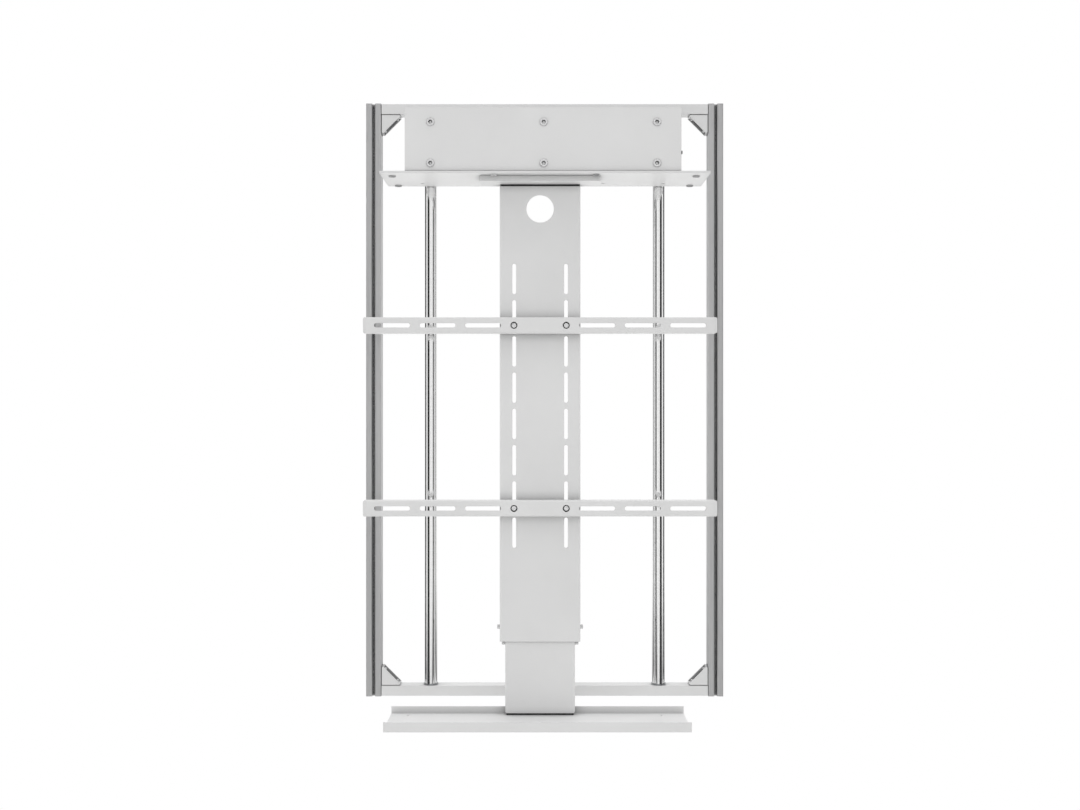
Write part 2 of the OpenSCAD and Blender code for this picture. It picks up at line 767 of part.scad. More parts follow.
// Rack with its teeth towards -X. A gap between two teeth lies level with the pinion's axis.
rack_bolt_depth = 10;
rack_first = ceil((bars_above + rack_plain - pinion_z) / tooth_pitch - 0.5);
rack_last = floor((bars_below - rack_plain - pinion_z) / tooth_pitch - 0.5);
rack_tip_half = tooth_pitch / 4 - gear_module * tan(pressure_angle) - flank_gap;
rack_root_half = tooth_pitch / 4 + root_depth * tan(pressure_angle) - flank_gap;
rack_tip_x = rack_pitch_x - gear_module;
rack_root_x = rack_pitch_x + root_depth;
rack_back_x = rack_pitch_x + rack_body;
function rack_tooth_z(k) = pinion_z + (k + 0.5) * tooth_pitch;
rack_points = concat([[rack_back_x, bars_above], [rack_root_x, bars_above]],
    [for (k = [rack_first:rack_last], p = [[rack_root_x, -rack_root_half], [rack_tip_x, -rack_tip_half],
        [rack_tip_x, rack_tip_half], [rack_root_x, rack_root_half]]) [p[0], rack_tooth_z(k) + p[1]]],
    [[rack_root_x, bars_below], [rack_back_x, bars_below]]);
module rack() {
    color(zinc) difference() {
        along_y(rod_y + rack_depth / 2, rack_depth) polygon(rack_points);
        for (z = [bars_above, bars_below]) translate([rack_bolt_x, rod_y, z])
            screw_hole(middle_d, rack_bolt_depth + over);
    }
}

module rack_bolts() {
    color(zinc) at_bar_ends(rack_bolt_x) middle_screw(bar_wall + rack_bolt_depth);
}

// Carriage

liner_places = [for (i = [-1, 1], j = [0, 1])
    [plate_hole_shift + i * (plate_w / 2 - plate_hole_side), plate_rear - plate_hole_edge - j * plate_hole_dy]];
module lower_plate() {
    color(paint) difference() {
        translate([0, plate_front + plate_d / 2, plate_bottom]) linear_extrude(plate_t)
            round_rect(plate_w, plate_d, plate_corner_r);
        for (p = liner_places) translate([p[0], p[1], plate_bottom - over])
            cylinder(d = liner_d + 2 * seat_clear, h = plate_t + 2 * over);
        for (i = [-1, 1]) translate([i * service_hole_dx / 2, service_y, plate_bottom - over])
            cylinder(d = service_hole_d, h = plate_t + 2 * over);
        for (p = hanger_bolt_places) translate([p[0], p[1], plate_top]) screw_hole(large_d, plate_t + over);
        for (x = flange_bolt_x) translate([x, flange_bolt_y, plate_top]) screw_hole(middle_d, plate_t + over);
    }
}

// Flanged nylon liners pressed into the plate from above
module plate_liners() {
    color(nylon) for (p = liner_places) translate([p[0], p[1], plate_bottom]) difference() {
        union() {
            translate([0, 0, -liner_drop]) cylinder(d = liner_d, h = plate_t + liner_drop);
            translate([0, 0, plate_t]) cylinder(d = liner_d + 2 * liner_rise, h = liner_rise);
        }
        translate([0, 0, -liner_drop - over])
            cylinder(d = plate_hole_d, h = plate_t + liner_drop + liner_rise + 2 * over);
    }
}

block_bolt_places = [for (s = [-1, 1], i = [-1, 1], j = [-1, 1])
    [s * rod_x + i * block_bolt_dx, block_bolt_z + j * block_bolt_dz / 2]];
gearbox_bolt_places = [for (i = [-1, 1], j = [-1, 1])
    [gearbox_x + i * gearbox_bolt_dx, gearbox_z + j * gearbox_bolt_dz]];
module back_plate() {
    color(paint) difference() {
        union() {
            translate([box_shift - box_w / 2, back_front, plate_top]) cube([box_w, back_t, box_h]);
            translate([box_shift - box_w / 2 + sheet + seat_clear, back_front - back_flange, plate_top])
                cube([box_w - 2 * sheet - 2 * seat_clear, back_flange + over, back_t]);
        }
        for (p = block_bolt_places) translate([p[0], back_front, p[1]])
            facing_front() screw_hole(middle_d, back_t + over);
        for (p = gearbox_bolt_places) translate([p[0], back_front, p[1]])
            facing_front() screw_hole(middle_d, back_t + over);
        translate([pinion_x, back_front - over, pinion_z])
            facing_back() cylinder(d = shaft_bush_d, h = back_t + 2 * over);
        translate([inlet_place[0], back_front - over, inlet_place[1]])
            facing_back() cylinder(d = inlet_d, h = back_t + 2 * over);
        for (x = flange_bolt_x) translate([x, flange_bolt_y, plate_top])
            screw_hole(middle_d, back_t + over);
    }
}

module housing_shell() {
    shell_d = back_front - shell_front;
    color(paint) difference() {
        translate([box_shift, 0, plate_top + box_h]) along_y(back_front, shell_d)
            mirror([0, 1]) channel_section(box_w, box_h, sheet, box_bend_r);
        translate([box_shift + box_w / 2, side_screw_y, side_screw_z])
            facing_side(1) screw_hole(side_screw_d, sheet + over);
    }
}

module front_cover() {
    color(paint) difference() {
        translate([box_shift, 0, plate_top + box_h]) along_y(shell_front, cover_t)
            mirror([0, 1]) channel_outline(box_w, box_h - cover_gap, box_bend_r);
        for (p = cover_screw_places) translate([p[0], cover_front, p[1]])
            facing_front() screw_hole(cover_screw_d, cover_t + over);
    }
}

cover_screw_depth = 20;
module cover_screws() {
    color(zinc) for (p = cover_screw_places) translate([p[0], cover_front, p[1]]) facing_front()
        cap_screw(cover_screw_d, cover_head_d, cover_head_h, cover_t + cover_screw_depth, cover_socket_af,
            cover_socket_depth);
}

module cover_spacers() {
    color(zinc) for (p = cover_screw_places) translate([p[0], 0, p[1]]) difference() {
        along_y(back_front, back_front - shell_front) circle(d = spacer_af * hex_ratio, $fn = 6);
        translate([0, shell_front, 0]) facing_front() screw_hole(cover_screw_d, cover_screw_depth + over);
    }
}

side_screw_y = shell_front + side_screw_back;
side_screw_z = plate_top + side_screw_rise;
side_screw_len = 8;
module side_screw() {
    color(blackened) translate([box_shift + box_w / 2, side_screw_y, side_screw_z]) facing_side(1)
        cap_screw(side_screw_d, side_head_d, side_head_h, side_screw_len, side_screw_d * 0.7, side_head_h * 0.6);
}

module bearing_block(side) {
    block_d = block_back - back_rear;
    color(anodised) translate([side * rod_x, 0, plate_top + block_rise]) difference() {
        translate([-block_w / 2, back_rear, 0]) cube([block_w, block_d, block_h]);
        translate([0, rod_y, -over]) cylinder(d = bush_d + 2 * running_clear, h = block_h + 2 * over);
        translate([-bush_slot / 2 - seat_clear, rod_y, -over])
            cube([bush_slot + 2 * seat_clear, rail, block_h + 2 * over]);
        for (i = [-1, 1], j = [-1, 1])
            translate([i * block_bolt_dx, back_rear, block_bolt_z - plate_top - block_rise + j * block_bolt_dz / 2])
            facing_front() screw_hole(middle_d, block_bolt_depth + over);
    }
}
module left_bearing_block() { bearing_block(-1); }
module right_bearing_block() { bearing_block(1); }

module slide_bushes() {
    color(bronze) for (i = [-1, 1], z = [0, block_h - bush_len])
        translate([i * rod_x, rod_y, plate_top + block_rise + z]) difference() {
            cylinder(d = bush_d, h = bush_len);
            translate([0, 0, -over]) cylinder(d = rod_d + 2 * running_clear, h = bush_len + 2 * over);
            translate([-bush_slot / 2, 0, -over]) cube([bush_slot, rail, bush_len + 2 * over]);
        }
}

module block_bolts() {
    color(zinc) for (p = block_bolt_places) translate([p[0], back_front, p[1]])
        facing_front() middle_screw(back_t + block_bolt_depth);
}

module flange_bolts() {
    color(zinc) for (x = flange_bolt_x) translate([x, flange_bolt_y, plate_top + back_t])
        middle_screw(back_t + plate_t - 0.5);
}

module gearbox() {
    gearbox_r = 6;
    color(anodised) difference() {
        translate([gearbox_x, 0, gearbox_z]) along_y(back_front, gearbox_d)
            round_rect(gearbox_w, gearbox_h, gearbox_r);
        translate([pinion_x, back_front + over, pinion_z]) facing_front()
            cylinder(d = shaft_d + 2 * running_clear, h = shaft_in_gearbox + 2 * over);
        for (p = gearbox_bolt_places) translate([p[0], back_front, p[1]])
            facing_front() screw_hole(middle_d, gearbox_bolt_depth + over);
    }
}

module gearbox_bolts() {
    color(zinc) for (p = gearbox_bolt_places) translate([p[0], back_rear, p[1]])
        facing_back() middle_screw(back_t + gearbox_bolt_depth);
}

motor_x = gearbox_x - gearbox_w / 2;
module motor_can() {
    color(blackened) translate([motor_x, motor_y, gearbox_z]) facing_side(-1)
        cylinder(d = motor_d, h = motor_len);
}

module motor_end_cap() {
    brush_d = 10;
    cap_step = 2;
    color(rubber) translate([motor_x - motor_len, motor_y, gearbox_z]) {
        facing_side(-1) cylinder(d = motor_d - 2 * cap_step, h = motor_cap_len);
        for (i = [-1, 1]) translate([-motor_cap_len / 2, 0, 0]) rotate([90 * i, 0, 0])
            cylinder(d = brush_d, h = motor_d / 2);
    }
}

module control_board() {
    relay = [20, 16, 15];
    capacitor_d = 12;
    capacitor_h = 22;
    plug_strip = [8, 40, 12];
    color(board_green) difference() {
        along_y(back_front - board_spacer, board_t) translate(board_mid) square([board_w, board_h], center = true);
        for (p = board_holes) translate([p[0], board_front, p[1]]) facing_front() screw_hole(board_hole_d, board_t * 2);
    }
    color(blackened) translate([board_mid[0], board_front, board_mid[1]]) {
        for (i = [-1, 1]) translate([i * board_w / 5, 0, board_h / 5]) along_y(0, relay[2])
            square([relay[0], relay[1]], center = true);
        translate([-board_w / 4, 0, -board_h / 5]) facing_front() cylinder(d = capacitor_d, h = capacitor_h);
        translate([board_w / 3, 0, -board_h / 8]) along_y(0, plug_strip[2])
            square([plug_strip[0], plug_strip[1]], center = true);
    }
}

board_holes = [for (i = [-1, 1], j = [-1, 1])
    [board_mid[0] + i * (board_w / 2 - board_hole_edge), board_mid[1] + j * (board_h / 2 - board_hole_edge)]];
module board_spacers() {
    color(zinc) for (p = board_holes) translate([p[0], back_front, p[1]])
        facing_front() cylinder(d = board_spacer_d, h = board_spacer);
}

module power_inlet() {
    rim = 2;
    color(rubber) translate([inlet_place[0], back_front, inlet_place[1]]) difference() {
        union() {
            facing_back() cylinder(d = inlet_d, h = back_t + inlet_len);
            translate([0, back_t, 0]) facing_back() cylinder(d = inlet_d + 2 * rim, h = inlet_len / 3);
        }
        translate([0, over, 0]) facing_back() cylinder(d = inlet_bore_d, h = back_t + inlet_len);
    }
}

module shaft_bush() {
    color(bronze) translate([pinion_x, back_front, pinion_z]) facing_back() difference() {
        cylinder(d = shaft_bush_d, h = back_t);
        translate([0, 0, -over]) cylinder(d = shaft_d + 2 * running_clear, h = back_t + 2 * over);
    }
}

hanger_bolt_places = [for (i = [-1, 1], y = [hanger_front + hanger_bolt_edge, hanger_rear - hanger_bolt_edge])
    [column_shift + i * hanger_bolt_dx, y]];
column_bolt_places = [for (i = [-1, 1]) [column_shift + i * column_bolt_dx, column_bolt_y]];
hanger_bolt_len = plate_t + hanger_bolt_depth;
column_bolt_depth = hanger_bolt_len - column_t - hanger_pad_t;
module hanger_block() {
    color(paint) difference() {
        translate([column_shift, hanger_front + hanger_d / 2, hanger_bottom]) intersection() {
            linear_extrude(hanger_t) round_rect(hanger_w, hanger_d, hanger_r);
            along_y(hanger_d / 2, hanger_d) crowned_outline(hanger_w, hanger_t, hanger_end_r);
            along_x(0, hanger_w) crowned_outline(hanger_d, hanger_t, hanger_edge_r);
        }
        for (p = hanger_bolt_places) translate([p[0], p[1], plate_bottom])
            screw_hole(large_d, hanger_bolt_depth + over / 2);
        for (p = column_bolt_places) translate([p[0], p[1], hanger_bottom])
            screw_hole(large_d, column_bolt_depth + over / 2);
    }
}

// The screws down through the plate and up through the column's top are the same
module hanger_bolts() {
    color(zinc) for (p = hanger_bolt_places) translate([p[0], p[1], plate_top]) large_screw(hanger_bolt_len);
    color(zinc) for (p = column_bolt_places) translate([p[0], p[1], column_top - column_t])
        rotate([180, 0, 0]) large_screw(hanger_bolt_len);
}

// Plug screw in the left service hole, seen from below
module service_plug() {
    plug_d = service_hole_d - 2 * seat_clear;
    color(paint) translate([-service_hole_dx / 2, service_y, plate_bottom]) rotate([180, 0, 0]) difference() {
        translate([0, 0, -plate_t]) cylinder(d = plug_d, h = plate_t + liner_drop);
        cylinder(d = plug_d / 2, h = plate_t, $fn = 6);
    }
}

// Rubber grommet round the right service hole
module service_grommet() {
    grommet_wall = 1;
    grommet_lip = 0.8;
    sleeve_d = service_hole_d - 2 * seat_clear;
    color(rubber) translate([service_hole_dx / 2, service_y, plate_bottom]) difference() {
        union() {
            translate([0, 0, -liner_drop]) cylinder(d = sleeve_d, h = plate_t + liner_drop);
            translate([0, 0, plate_t]) cylinder(d = service_hole_d + 2 * grommet_lip, h = grommet_lip);
        }
        translate([0, 0, -liner_drop - over])
            cylinder(d = sleeve_d - 2 * grommet_wall, h = plate_t + liner_drop + grommet_lip + 2 * over);
    }
}

module hanger_pad() {
    pad_w = column_w - 2 * hanger_pad_inset;
    pad_front = column_front + hanger_pad_inset;
    color(rubber) difference() {
        translate([column_shift - pad_w / 2, pad_front, column_top])
            cube([pad_w, hanger_rear - pad_front, hanger_pad_t]);
        for (p = column_bolt_places) translate([p[0], p[1], column_top])
            screw_hole(large_d, hanger_pad_t + over);
    }
}

module outer_column() {
    color(paint) difference() {
        translate([column_shift, column_front, column_bottom]) {
            linear_extrude(column_len) channel_section(column_w, column_d, column_t, column_r);
            translate([0, 0, column_len - column_t]) linear_extrude(column_t)
                channel_outline(column_w, column_d, column_r);
        }
        translate([column_shift, column_front - over, column_top - cable_hole_drop])
            facing_back() cylinder(d = cable_hole_d, h = column_t + 2 * over);
        for (i = [-1, 1], z = slot_rows_z) translate([column_shift + i * slot_dx / 2, 0, z])
            along_y(web_back + over, column_t + 2 * over) rotate(90) slot_outline(slot_len, slot_w);
        for (i = [-1, 1]) translate([column_shift + i * column_w / 2, clamp_y, clamp_z])
            facing_side(1) screw_hole(small_d, column_t + over);
        for (p = column_bolt_places) translate([p[0], p[1], column_top])
            screw_hole(large_d, column_t + over);
    }
}

module clamp_screws() {
    clamp_len = (column_w - inner_w) / 2 - slide_gap;
    color(zinc) for (i = [-1, 1]) translate([column_shift + i * column_w / 2, clamp_y, clamp_z])
        facing_side(i) small_screw(clamp_len, small_head_h);
}

// Drive pinion on the output shaft

base_r = pinion_r * cos(pressure_angle);
tip_r = pinion_r + gear_module;
root_r = pinion_r - root_depth;
function involute(a) = tan(a) * 180 / PI - a;
function tooth_half_angle(r) = 90 / pinion_teeth + involute(pressure_angle)
    - involute(acos(base_r / r)) - flank_gap / pinion_r * 180 / PI;
flank_steps = 4;
flank_radii = [for (i = [0:flank_steps]) base_r + (tip_r - base_r) * i / flank_steps];
tooth_half = concat([[root_r, tooth_half_angle(base_r)]], [for (r = flank_radii) [r, tooth_half_angle(r)]]);
tooth_whole = concat([for (p = tooth_half) [p[0], -p[1]]],
    [for (i = [len(tooth_half) - 1:-1:0]) tooth_half[i]]);
pinion_points = [for (k = [0:pinion_teeth - 1], p = tooth_whole)
    p[0] * [cos(p[1] + k * 360 / pinion_teeth), sin(p[1] + k * 360 / pinion_teeth)]];
module drive_pinion() {
    color(zinc) translate([pinion_x, 0, pinion_z]) difference() {
        along_y(pinion_back, pinion_w) polygon(pinion_points);
        translate([0, pinion_back + over, 0]) facing_front()
            cylinder(d = shaft_d + 2 * seat_clear, h = pinion_w + 2 * over);
    }
}

stub_d = 10;
nut_h = 6;
pinion_nut_af = 17;
module output_shaft() {
    shaft_front = back_front - shaft_in_gearbox;
    collar_front = back_rear + 3 * slide_gap;
    color(zinc) translate([pinion_x, 0, pinion_z]) {
        translate([0, pinion_back, 0]) facing_front() cylinder(d = shaft_d, h = pinion_back - shaft_front);
        translate([0, pinion_front, 0]) facing_front() cylinder(d = collar_d, h = pinion_front - collar_front);
        translate([0, pinion_back - over, 0]) facing_back() cylinder(d = stub_d, h = nut_h + over);
    }
}

module pinion_nut() {
    nut_d = pinion_nut_af * hex_ratio;
    color(zinc) translate([pinion_x, pinion_back, pinion_z]) facing_back() difference() {
        cylinder(d = nut_d, h = nut_h, $fn = 6);
        translate([0, 0, -over]) cylinder(d = stub_d + 2 * seat_clear, h = nut_h + 2 * over);
    }
}

// Mounting arms, each a tube with plugged ends

arm_tube_len = arm_len - 2 * arm_cap_t;
module arm_tube(z) {
    color(paint) translate([column_shift, 0, z]) difference() {
        along_x(0, arm_tube_len) translate([arm_back - arm_d / 2, 0]) difference() {
            round_rect(arm_d, arm_h, arm_r);
            square([arm_d - 2 * arm_wall, arm_h - 2 * arm_wall], center = true);
        }
        for (x = vesa_x) translate([x, 0, 0]) {
            along_y(arm_seat, arm_d) slot_outline(vesa_len, vesa_w);
            along_y(arm_back + over, arm_wall + 2 * over)
                slot_outline(vesa_len + 2 * vesa_relief, vesa_w + 2 * vesa_relief);
        }
        for (i = [-1, 1]) translate([i * slot_dx / 2, 0, 0]) {
            translate([0, arm_front - over, 0]) facing_back()
                cylinder(d = arm_access_d, h = arm_wall + 2 * over);
            translate([0, arm_seat, 0]) facing_front() screw_hole(middle_d, arm_wall + over);
        }
    }
}

module arm_cap_outline() {
    translate([0, -arm_h / 2 + arm_cap_t]) square([arm_cap_t, arm_h - 2 * arm_cap_t]);
    intersection() {
        translate([0, -arm_h / 2]) square([arm_cap_t, arm_h]);
        for (j = [-1, 1]) translate([0, j * (arm_h / 2 - arm_cap_t)]) circle(arm_cap_t);
    }
}

module arm_end_caps(z) {
    plug_d = arm_d - 2 * arm_wall - 2 * seat_clear;
    plug_h = arm_h - 2 * arm_wall - 2 * seat_clear;
    color(paint) for (side = [0, 1]) translate([column_shift, 0, z]) mirror([side, 0, 0]) {
        translate([arm_tube_len / 2, 0, 0]) along_y(arm_back, arm_d) arm_cap_outline();
        along_x(arm_tube_len / 2 - arm_plug / 2 + over / 2, arm_plug + over)
            translate([arm_back - arm_d / 2, 0]) difference() {
                square([plug_d, plug_h], center = true);
                square([plug_d - 2 * arm_plug_wall, plug_h - 2 * arm_plug_wall], center = true);
            }
    }
}

arm_nut_front = web_back + slide_gap;
arm_bolt_len = arm_nut_front + washer_t + middle_d * nut_ratio + thread_past_nut - arm_seat;
// Plain barrel heads fill the tube, and the nuts behind the column draw them tight
barrel_h = arm_d - 2 * arm_wall - barrel_gap;
module arm_bolts(z) {
    color(zinc) for (i = [-1, 1]) translate([column_shift + i * slot_dx / 2, arm_seat, z])
        facing_front() {
            cylinder(d = barrel_d, h = barrel_h - barrel_bevel);
            translate([0, 0, barrel_h - barrel_bevel])
                cylinder(d1 = barrel_d, d2 = barrel_d - 2 * barrel_bevel, h = barrel_bevel);
            translate([0, 0, -arm_bolt_len]) cylinder(d = middle_d, h = arm_bolt_len + over);
        }
}

module arm_nuts(z) {
    color(zinc) for (i = [-1, 1]) translate([column_shift + i * slot_dx / 2, arm_nut_front, z]) facing_back() {
        difference() {
            cylinder(d = washer_d, h = washer_t);
            screw_hole(middle_d, washer_t + over);
        }
        translate([0, 0, washer_t]) hex_nut(middle_d);
    }
}

module upper_arm() { arm_tube(upper_arm_z); }
module upper_arm_caps() { arm_end_caps(upper_arm_z); }
module upper_arm_bolts() { arm_bolts(upper_arm_z); }
module upper_arm_nuts() { arm_nuts(upper_arm_z); }
module lower_arm() { arm_tube(lower_arm_z); }
module lower_arm_caps() { arm_end_caps(lower_arm_z); }
module lower_arm_bolts() { arm_bolts(lower_arm_z); }
module lower_arm_nuts() { arm_nuts(lower_arm_z); }

// Inner column and tray

foot_bolt_places = [for (i = [-1:1]) [column_shift + i * foot_bolt_dx, foot_bolt_y]];
module inner_column() {
    color(paint) difference() {
        translate([column_shift, inner_front, inner_bottom]) intersection() {
            union() {
                linear_extrude(inner_len) channel_section(inner_w, inner_d, column_t, column_r);
                linear_extrude(column_t) channel_outline(inner_w, foot_d, column_r);
            }
            along_y(inner_d, inner_d) channel_outline(inner_w, inner_len, column_r);
        }
        translate([column_shift - inner_w / 2 - over, foot_back, inner_bottom - over])
            cube([inner_w + 2 * over, inner_d, notch_h + over]);
        for (i = [-1, 1]) translate([column_shift + i * inner_w / 2, clamp_y, glide_z])
            facing_side(1) screw_hole(small_d, column_t + over);
        for (p = foot_bolt_places) translate([p[0], p[1], inner_bottom]) screw_hole(small_d, column_t + over);
    }
}

glide_len = column_t + 0.5;
module glide_screws() {
    color(zinc) for (i = [-1, 1]) translate([column_shift + i * inner_w / 2, clamp_y, glide_z])
        facing_side(i) small_screw(glide_len, glide_head_h);
}

module foot_pad() {
    pad_w = inner_w - 2 * foot_pad_inset;
    color(rubber) difference() {
        translate([column_shift - pad_w / 2, inner_front + foot_pad_inset, tray_floor])
            cube([pad_w, foot_d - foot_pad_inset, foot_pad_t]);
        for (p = foot_bolt_places) translate([p[0], p[1], tray_floor]) screw_hole(small_d, foot_pad_t + over);
    }
}

module tray() {
    color(paint) difference() {
        translate([tray_shift - tray_w / 2, tray_front, tray_floor - tray_t]) {
            cube([tray_w, tray_d, tray_t]);
            translate([0, tray_d - tray_t, 0]) cube([tray_w, tray_t, tray_rear_h + tray_t]);
            translate([-tray_ear, 0, tray_t - tray_front_h]) cube([tray_w + 2 * tray_ear, tray_t, tray_front_h]);
        }
        for (i = [-1, 1]) translate([tray_hole_x + i * tray_hole_dx / 2, tray_front + tray_hole_back, tray_floor])
            translate([0, 0, -tray_t - over]) cylinder(d = tray_hole_d, h = tray_t + 2 * over);
        for (p = foot_bolt_places) translate([p[0], p[1], tray_floor]) screw_hole(small_d, tray_t + over);
    }
}

foot_stack = tray_t + foot_pad_t + column_t;
foot_head_h = 3;
module foot_bolts() {
    foot_len = foot_stack + small_d * nut_ratio + thread_past_nut;
    color(zinc) for (p = foot_bolt_places) translate([p[0], p[1], tray_floor - tray_t])
        rotate([180, 0, 0]) small_screw(foot_len, foot_head_h);
    color(zinc) for (p = foot_bolt_places) translate([p[0], p[1], inner_bottom + column_t]) hex_nut(small_d);
}

left_rail();
right_rail();
top_bar();
bottom_bar();
top_left_bracket();
top_right_bracket();
bottom_left_bracket();
bottom_right_bracket();
bracket_bolts();
slot_nuts();
left_guide_rod();
right_guide_rod();
rod_rings();
rod_bolts();
rack();
rack_bolts();
lower_plate();
plate_liners();
back_plate();
housing_shell();
front_cover();
cover_screws();
cover_spacers();
side_screw();
left_bearing_block();
right_bearing_block();
slide_bushes();
block_bolts();
flange_bolts();
gearbox();
gearbox_bolts();
motor_can();
motor_end_cap();
control_board();
board_spacers();
power_inlet();
shaft_bush();
hanger_block();
hanger_bolts();
service_plug();
service_grommet();
hanger_pad();
outer_column();
clamp_screws();
drive_pinion();
output_shaft();
pinion_nut();
upper_arm();
upper_arm_caps();
upper_arm_bolts();
upper_arm_nuts();
lower_arm();
lower_arm_caps();
lower_arm_bolts();
lower_arm_nuts();
inner_column();
glide_screws();
foot_pad();
tray();
foot_bolts();
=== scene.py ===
import json
import math

import bmesh
import bpy
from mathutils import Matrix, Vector

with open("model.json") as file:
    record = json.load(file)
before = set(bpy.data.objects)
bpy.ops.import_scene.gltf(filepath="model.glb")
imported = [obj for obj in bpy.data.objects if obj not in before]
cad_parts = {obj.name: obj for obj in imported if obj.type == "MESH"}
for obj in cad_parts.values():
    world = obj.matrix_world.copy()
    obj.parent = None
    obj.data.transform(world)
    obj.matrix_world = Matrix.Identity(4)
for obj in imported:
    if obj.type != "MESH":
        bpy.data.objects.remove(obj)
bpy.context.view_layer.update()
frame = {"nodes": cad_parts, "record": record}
scene = bpy.context.scene
mm = 0.001
print("frame loaded:", len(frame["nodes"]), "nodes")


# Colours and shader nodes

def toLinear(hexColour):
    channels = [int(hexColour[i:i + 2], 16) / 255 for i in (1, 3, 5)]
    linear = [c / 12.92 if c <= 0.04045 else ((c + 0.055) / 1.055) ** 2.4 for c in channels]
    return (*linear, 1.0)


# Adds one node; a value that is a socket is linked, any other is set on the input
def addNode(tree, kind, inputs=None, **settings):
    made = tree.nodes.new(kind)
    for key, value in settings.items():
        setattr(made, key, value)
    for key, value in (inputs or {}).items():
        if isinstance(value, bpy.types.NodeSocket):
            tree.links.new(value, made.inputs[key])
        else:
            made.inputs[key].default_value = value
    return made


# What all finishes share: the noise kept, its octaves, how far a normal turns at an edge, and the rays sent
# for the edges and for the painted shade
shared = {"noiseLow": 0.3, "noiseHigh": 0.7, "mottleDetail": 3.0, "grainDetail": 1.5,
          "edgeTurned": 0.8, "edgeFlat": 0.99, "edgeSamples": 6, "paintedShadeSamples": 8}


# Noise from 0 to 1 whose features are sizeMm across, one number or one for each axis
def grain(tree, coords, sizeMm, detail):
    sizes = sizeMm if isinstance(sizeMm, tuple) else (sizeMm,) * 3
    mapped = addNode(tree, "ShaderNodeMapping", {"Vector": coords, "Scale": [1 / (s * mm) for s in sizes]})
    noise = addNode(tree, "ShaderNodeTexNoise",
                    {"Vector": mapped.outputs["Vector"], "Scale": 1.0, "Detail": detail})
    spread = addNode(tree, "ShaderNodeMapRange",
                     {"Value": noise.outputs["Fac"], "From Min": shared["noiseLow"],
                      "From Max": shared["noiseHigh"]})
    return spread.outputs["Result"]


# One finish: two tones by a mottle or by height, an edge colour that is real wear on some finishes and
# painted light on others, painted shade in hollows, gloss by the mottle, and a fine relief
def makeFinish(name, p):
    material = bpy.data.materials.new(name)
    material.use_nodes = True
    tree = material.node_tree
    shader = tree.nodes["Principled BSDF"]
    shader.inputs["Metallic"].default_value = p["metallic"]
    if "ior" in p:
        shader.inputs["IOR"].default_value = p["ior"]
    coords = addNode(tree, "ShaderNodeTexCoord").outputs["Object"]
    mottle = grain(tree, coords, p["mottleMm"], shared["mottleDetail"])
    texture = grain(tree, coords, p["grainMm"], shared["grainDetail"])
    blend = mottle
    if "fadeZ" in p:
        height = addNode(tree, "ShaderNodeSeparateXYZ", {"Vector": coords}).outputs["Z"]
        blend = addNode(tree, "ShaderNodeMapRange", {"Value": height, "From Min": p["fadeZ"][0],
                                                     "From Max": p["fadeZ"][1]}).outputs["Result"]
    tone = addNode(tree, "ShaderNodeMix", {0: blend, 6: toLinear(p["light"]), 7: toLinear(p["dark"])},
                   data_type="RGBA").outputs[2]

    # The bevelled normal leaves the true one only along an edge
    rounded = addNode(tree, "ShaderNodeBevel", {"Radius": p["edgeMm"] * mm},
                      samples=shared["edgeSamples"]).outputs["Normal"]
    flat = addNode(tree, "ShaderNodeNewGeometry").outputs["Normal"]
    turned = addNode(tree, "ShaderNodeVectorMath", {0: rounded, 1: flat},
                     operation="DOT_PRODUCT").outputs["Value"]
    edge = addNode(tree, "ShaderNodeMapRange", {"Value": turned, "From Min": shared["edgeTurned"],
                                                "From Max": shared["edgeFlat"], "To Min": p["edgeWearAndPaintedLight"],
                                                "To Max": 0.0}).outputs["Result"]
    # Edge colour: real wear on some finishes, painted light on others, a painted highlight on pale ones and a
    # painted dark rim on zinc
    edgeWornAndLitColour = addNode(tree, "ShaderNodeMix", {0: edge, 6: tone, 7: toLinear(p["edgeTone"])},
                   data_type="RGBA").outputs[2]

    # Painted shade: where ambient occlusion finds nearby surfaces, in corners, grooves, recesses and under
    # parts, the colour turns towards the finish's shade tone
    openness = addNode(tree, "ShaderNodeAmbientOcclusion", {"Distance": p["paintedShadeMm"] * mm},
                       samples=shared["paintedShadeSamples"]).outputs["AO"]
    clear = addNode(tree, "ShaderNodeMapRange", {"Value": openness, "From Min": p["paintedShadeFrom"],
                                                 "From Max": p["paintedShadeTo"]}).outputs["Result"]
    colour = addNode(tree, "ShaderNodeMix", {0: clear, 6: toLinear(p["paintedShade"]), 7: edgeWornAndLitColour},
                     data_type="RGBA").outputs[2]
    tree.links.new(colour, shader.inputs["Base Color"])

    gloss = addNode(tree, "ShaderNodeMapRange", {"Value": mottle, "To Min": p["roughLow"],
                                                 "To Max": p["roughHigh"]})
    tree.links.new(gloss.outputs["Result"], shader.inputs["Roughness"])
    bump = addNode(tree, "ShaderNodeBump", {"Height": texture, "Strength": p["reliefShare"],
                                            "Distance": p["reliefMm"] * mm, "Normal": rounded})
    tree.links.new(bump.outputs["Normal"], shader.inputs["Normal"])
    return material


# Polyester powder coat, sprayed and baked: an even satin white with a fine orange peel, a painted highlight
# on the bends, and painted shade in corners and under parts
powderCoat = {"metallic": 0.0, "ior": 1.5, "light": "#dddddd", "dark": "#d8d8d8", "mottleMm": 160,
              "grainMm": 2.2,  # real peel is about 0.8 mm, drawn coarser to show
              "reliefMm": 0.03, "reliefShare": 0.25, "roughLow": 0.33, "roughHigh": 0.42,
              "edgeMm": 1.6, "edgeTone": "#ececec", "edgeWearAndPaintedLight": 0.9,
              "paintedShade": "#b2b2b2", "paintedShadeMm": 26, "paintedShadeFrom": 0.35, "paintedShadeTo": 0.85}

# The same paint on die castings: painted highlights on the rims and deep painted shade in the pockets
castPaint = {**powderCoat, "edgeMm": 0.8, "edgeTone": "#f4f4f4", "paintedShade": "#6a6a6c", "paintedShadeTo": 0.8}
